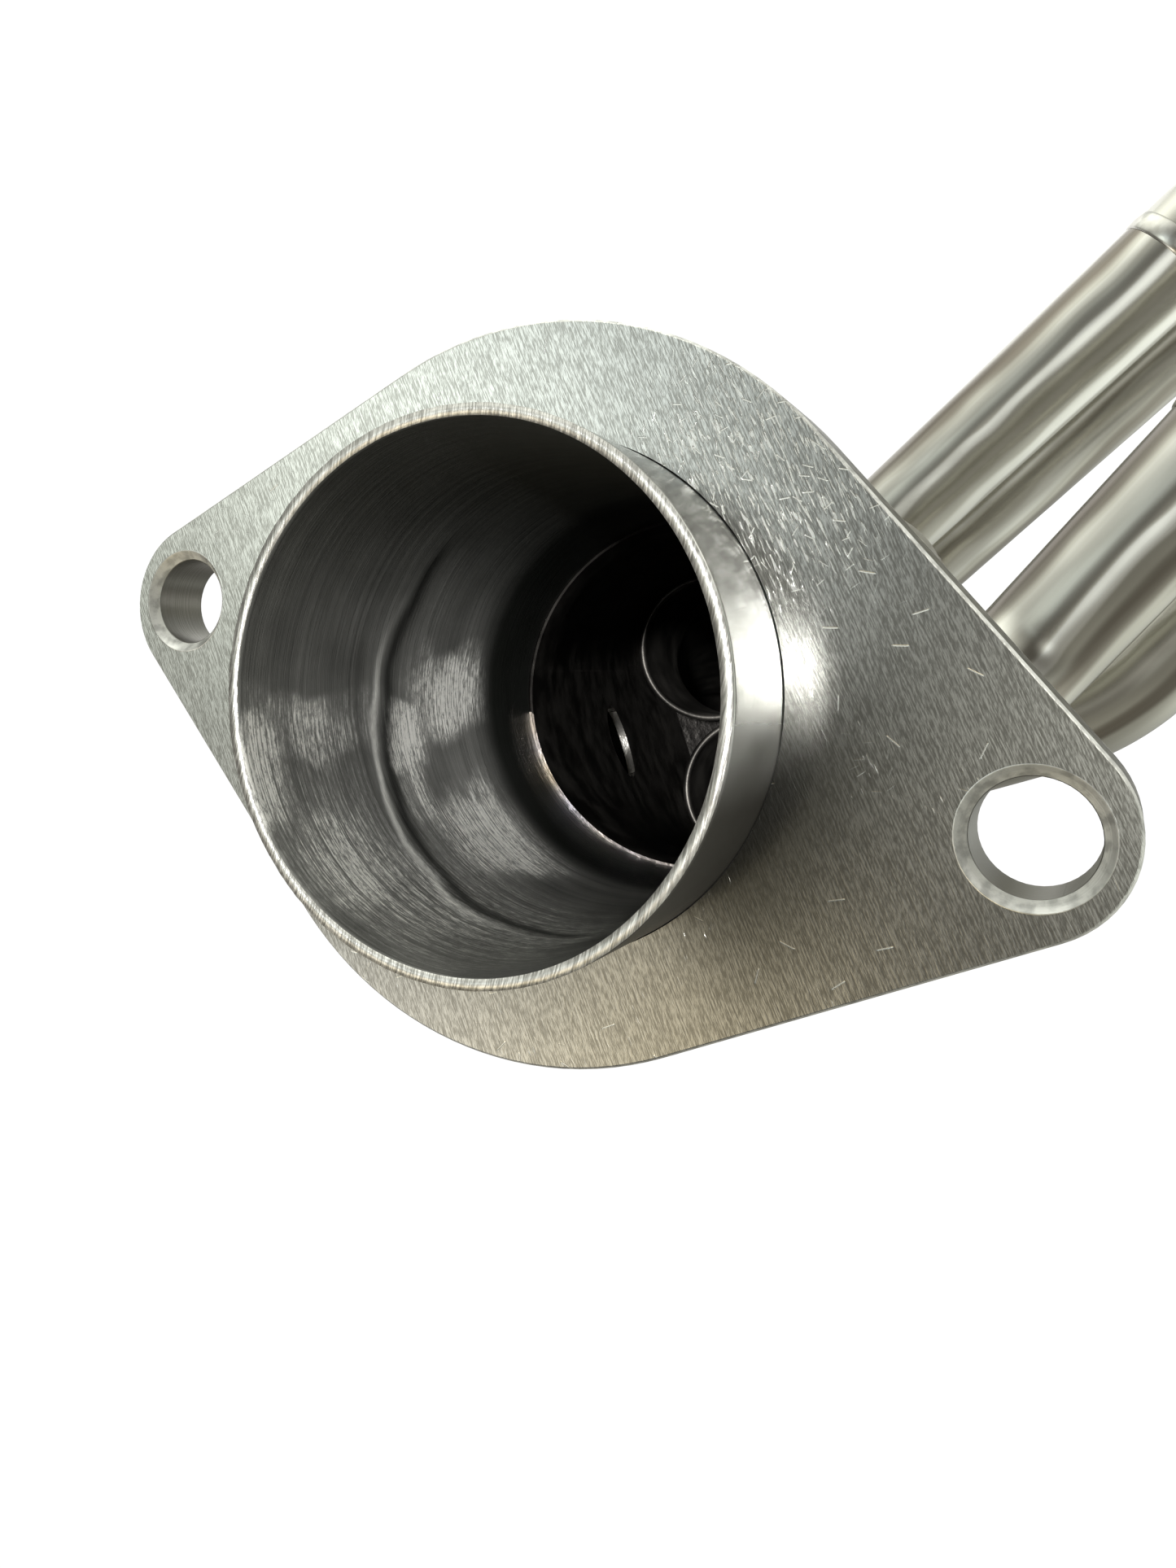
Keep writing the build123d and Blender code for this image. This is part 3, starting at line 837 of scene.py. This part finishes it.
FLANGE_THICKNESS = 0.0097
FLANGE_BACK = outlet.z + FLANGE_THICKNESS
BOLT_LINE = radians(60.0)
BOLT_REACH = 0.0522
BOLT_HOLE_RADIUS = 0.0055
COUNTERSINK_RADIUS = 0.0066
GRIND = radians(112.0)
grind_along = (cos(GRIND), sin(GRIND), 0)
grind_across = (-sin(GRIND), cos(GRIND), 0)

face_finish = Finish("ground_outlet_flange")
spot = face_finish.place()
height_up = spot.dot((0, 0, 1))
belt = face_finish.lines(spot, grind_along, grind_across, 0.0030, 0.00015, 2.0)
coarse = face_finish.lines(spot, grind_along, grind_across, 0.009, 0.0006, 3.0)
crossed = GRIND + 0.2
second_pass = face_finish.lines(spot, (cos(crossed), sin(crossed), 0), (-sin(crossed), cos(crossed), 0),
                                0.0007, 0.00018, 2.0)
clouds = face_finish.grain(spot.spread(60.0), 4.0)
fine_nicks = face_finish.nicks(spot, 0.0019, 0.0006, 0.00008, 0.8, 3.0)
long_nicks = face_finish.nicks(spot, 0.0062, 0.0009, 0.00009, 0.30, 11.0)
steep_cuts = face_finish.lines(spot, grind_along, grind_across, 0.0020, 0.00026, 1.0)
steep_nicks = steep_cuts.fade(0.70, 0.78)
from_pipe = spot.shift((-outlet.x, -outlet.y, 0.0))
# Painted glint: in a round patch just beside the pipe, more bright nicks and cuts are crowded in; the nicks
# are wear, their crowding there is a painted glint.
glint_x, glint_y = from_pipe.dot((1, 0, 0)) - 0.0335, from_pipe.dot((0, 1, 0)) - 0.003
wear_and_glint = (glint_x * glint_x + glint_y * glint_y) ** 0.5
wear_and_glint = wear_and_glint.fade(0.005, 0.019, 1.0, 0.0)
nicks_and_glints = fine_nicks * (1.4 * wear_and_glint + 0.5 * clouds.fade(0.5, 0.66)) + long_nicks
nicks_and_glints = nicks_and_glints + 0.6 * steep_nicks * clouds.fade(0.45, 0.6) + 1.3 * wear_and_glint * steep_cuts.fade(0.57, 0.65)
# Painted reflection: a dark patch on the face beside the pipe, at about 72 degrees round it.
pipe_gap = (from_pipe.dot((1, 0, 0)) ** 2.0 + from_pipe.dot((0, 1, 0)) ** 2.0) ** 0.5
reflection_side = from_pipe.dot((cos(radians(72.0)), sin(radians(72.0)), 0)) / pipe_gap
smear_and_painted_reflection = reflection_side.fade(0.80, 0.99) * pipe_gap.fade(0.0295, 0.047, 1.0, 0.0)
bolt_arm = Vector((cos(BOLT_LINE), sin(BOLT_LINE), 0)) * BOLT_REACH
hole_gap = None
for side in (1, -1):
    centre = Vector((outlet.x, outlet.y, 0)) + side * bolt_arm
    from_hole = spot.shift(tuple(-centre))
    across, upward = from_hole.dot((1, 0, 0)), from_hole.dot((0, 1, 0))
    gap = (across * across + upward * upward) ** 0.5
    hole_gap = gap if hole_gap is None else face_finish.node(
        "ShaderNodeMath", {"operation": "MINIMUM"}, {0: hole_gap, 1: gap})
by_hole = hole_gap.fade(COUNTERSINK_RADIUS + 0.00012, COUNTERSINK_RADIUS + 0.00002)
countersink = hole_gap.fade(BOLT_HOLE_RADIUS + 0.00003, BOLT_HOLE_RADIUS + 0.00010) * by_hole
on_edge = height_up.near((outlet.z + FLANGE_BACK) / 2, 0.0049).fade(0.0, 0.075)
broken_edge = height_up.near(outlet.z + 0.00034, 0.00032).fade(0.0, 0.4) * (1 - by_hole)
edge_scale = face_finish.grain(spot.spread(700.0), 4.0)
tool_rings = face_finish.grain(face_finish.vector(hole_gap * 6000, height_up * 5000), 2.0)
torch_lines = face_finish.lines(spot, (0, 0, 1), (1, 0, 0), 0.012, 0.0006, 3.0)
scratch = (0.55 * belt + 0.45 * second_pass).fade(0.40, 0.62)
face_tone = face_finish.blend(scratch, (0.40, 0.395, 0.37, 1), (0.80, 0.80, 0.77, 1))
# The nicks are wear; their near-white colour is a painted glint.
face_tone = face_finish.blend(nicks_and_glints.fade(0.0, 0.7), face_tone, (0.98, 0.98, 0.95, 1))
face_tone = face_finish.blend(0.85 * smear_and_painted_reflection, face_tone, (0.09, 0.088, 0.075, 1))
edge_tone = face_finish.blend(edge_scale.fade(0.35, 0.65), (0.07, 0.065, 0.055, 1), (0.26, 0.25, 0.22, 1))
hole_tone = face_finish.blend(tool_rings, (0.16, 0.155, 0.14, 1), (0.42, 0.41, 0.38, 1))
bright_tone = face_finish.blend(edge_scale.fade(0.3, 0.6), (0.62, 0.62, 0.6, 1), (0.97, 0.97, 0.94, 1))
tone = face_finish.blend(on_edge, face_tone, face_finish.blend(by_hole, edge_tone, hole_tone))
tone = face_finish.blend(countersink.at_least(broken_edge), tone, bright_tone)
rough = 0.14 + 0.08 * clouds + 0.18 * on_edge + 0.12 * nicks_and_glints + 0.3 * countersink + 0.3 * broken_edge
face_height = 0.5 * belt + 0.4 * second_pass + 0.5 * coarse - 1.6 * nicks_and_glints
height = (1 - on_edge) * face_height + on_edge * (4.0 * edge_scale + 2.0 * torch_lines) * (1 - by_hole)
height = height + 2.0 * by_hole * tool_rings
flange_metal = face_finish.metal(tone, rough, height, 0.000016)
dress("outlet_flange", flange_metal)

weld_ring("outlet_flange_bead", Vector((outlet.x, outlet.y, FLANGE_BACK + 0.35 * FILLET_LEG)), (0, 0, 1),
          PIPE_RADIUS + 0.35 * FILLET_LEG, 0.65 * FILLET_LEG, 0.33 * FILLET_LEG,
          ["outlet_flange_weld"], tilt=radians(45), pitch=0.0018, height=0.00035)


# ---- Studio --------------------------------------------------------------------------
# Pale floor, a soft overhead light and a small one that looks into the bore. The pale room
# is brighter towards some sides, so that the bare metal has something to reflect.

FLOOR_Z = -0.478
floor_mesh = bpy.data.meshes.new("floor")
corners = [(-12, -12, FLOOR_Z), (12, -12, FLOOR_Z), (12, 12, FLOOR_Z), (-12, 12, FLOOR_Z)]
floor_mesh.from_pydata(corners, [], [(0, 1, 2, 3)])
floor = bpy.data.objects.new("floor", floor_mesh)
bpy.context.scene.collection.objects.link(floor)
paper = Finish("pale_paper")
chalky = {"Base Color": (0.86, 0.86, 0.85, 1), "Roughness": 0.9}
paper_surface = paper.node("ShaderNodeBsdfPrincipled", None, chalky)
paper.node("ShaderNodeOutputMaterial", None, {0: paper_surface})
floor.data.materials.append(paper.material)
floor.visible_glossy = False
floor.visible_diffuse = False
floor.visible_shadow = False

lamp = bpy.data.lights.new("overhead_softbox", "AREA")
lamp.shape = "RECTANGLE"
lamp.size, lamp.size_y, lamp.energy = 1.4, 1.0, 3.0
softbox = bpy.data.objects.new("overhead_softbox", lamp)
softbox.location = (-0.3, -0.9, 0.9)
softbox.rotation_euler = (Vector((-0.1, -0.08, -0.1)) - softbox.location).to_track_quat("-Z", "Y").to_euler()
bpy.context.scene.collection.objects.link(softbox)

bore_lamp = bpy.data.lights.new("bore_spot", "SPOT")
bore_lamp.energy, bore_lamp.shadow_soft_size = 28.0, 0.02
bore_lamp.spot_size, bore_lamp.spot_blend = radians(6.0), 0.4
bore_spot = bpy.data.objects.new("bore_spot", bore_lamp)
bore_spot.location = outlet + 0.5 * Vector((0.24, 0.15, -0.96))
bore_mouth = outlet - Vector((0, 0, 0.013))
bore_spot.rotation_euler = (bore_mouth - bore_spot.location).to_track_quat("-Z", "Y").to_euler()
bpy.context.scene.collection.objects.link(bore_spot)

room = bpy.data.worlds.new("pale_room")
room.use_nodes = True
bpy.context.scene.world = room
walls = Recipe(room.node_tree)
looking = walls.node("ShaderNodeTexCoord").out("Generated")
room_glow = None
for towards, tightness, glow in (
    ((-0.25, -0.55, -0.80), 30.0, (1.08, 1.15, 1.04)),
    ((-0.10, -0.50, -0.86), 30.0, (0.42, 0.48, 0.51)),
    ((-0.76, -0.12, -0.64), 30.0, (1.4, 1.4, 1.35)),
    ((-0.72, 0.14, -0.68), 30.0, (1.5, 1.22, 0.66)),
    ((0.22, 0.17, -0.96), 50.0, (1.2, 1.24, 1.18)),
    ((-0.31, 0.79, -0.53), 6.0, (0.30, 0.30, 0.26)),
    ((0.49, -0.87, -0.06), 6.0, (1.9, 1.95, 1.8)),
    ((0.41, 0.79, 0.45), 6.0, (1.15, 1.2, 1.1)),
    ((0.36, -0.35, 0.87), 12.0, (0.6, 0.62, 0.6)),
    ((0.39, 0.34, 0.86), 12.0, (0.5, 0.52, 0.5)),
    ((-0.7, -0.3, 0.6), 5.0, (0.42, 0.42, 0.40)),
    ((0.95, 0.10, -0.10), 20.0, (1.4, 1.4, 1.3)),
    ((-0.42, -0.03, -0.90), 150.0, (0.34, 0.28, 0.17)),
    ((-0.04, 0.02, -1.0), 150.0, (0.24, 0.24, 0.21)),
):
    off_axis = looking.dot(Vector(towards).normalized()) - 1.0
    share = walls.node("ShaderNodeMath", {"operation": "EXPONENT"}, {0: off_axis * tightness})
    wash = walls.node("ShaderNodeVectorMath", {"operation": "SCALE"}, {0: glow, 3: share})
    room_glow = wash if room_glow is None else room_glow.shift(wash)
room_glow = room_glow.shift((0.095, 0.088, 0.076))
reflected = walls.node("ShaderNodeBackground", None, {"Color": room_glow, "Strength": 1.0})
seen = walls.node("ShaderNodeBackground", None, {"Color": (1.0, 1.0, 1.0, 1), "Strength": 1.05})
camera_ray = walls.node("ShaderNodeLightPath").out("Is Camera Ray")
both = walls.node("ShaderNodeMixShader", None, {0: camera_ray, 1: reflected, 2: seen})
walls.node("ShaderNodeOutputWorld", None, {0: both})
bpy.context.scene.view_settings.view_transform = "Standard"

camera_data = bpy.data.cameras.new("camera")
camera_data.sensor_width = 36.0
camera_data.lens = 25.674
camera_data.shift_x, camera_data.shift_y = 0.0516, -0.0507
camera_data.clip_start, camera_data.clip_end = 0.005, 20.0
camera = bpy.data.objects.new("camera", camera_data)
bpy.context.scene.collection.objects.link(camera)
forward = Vector((-0.3478, -0.3380, 0.8745)).normalized()
upward = Vector((0.7175, -0.6964, 0.0162))
rightward = forward.cross(upward).normalized()
upward = rightward.cross(forward)
camera.matrix_world = Matrix.Translation((-0.2201, -0.1091, -0.4534)) @ Matrix(
    (rightward, upward, -forward)
).transposed().to_4x4()
bpy.context.scene.camera = camera
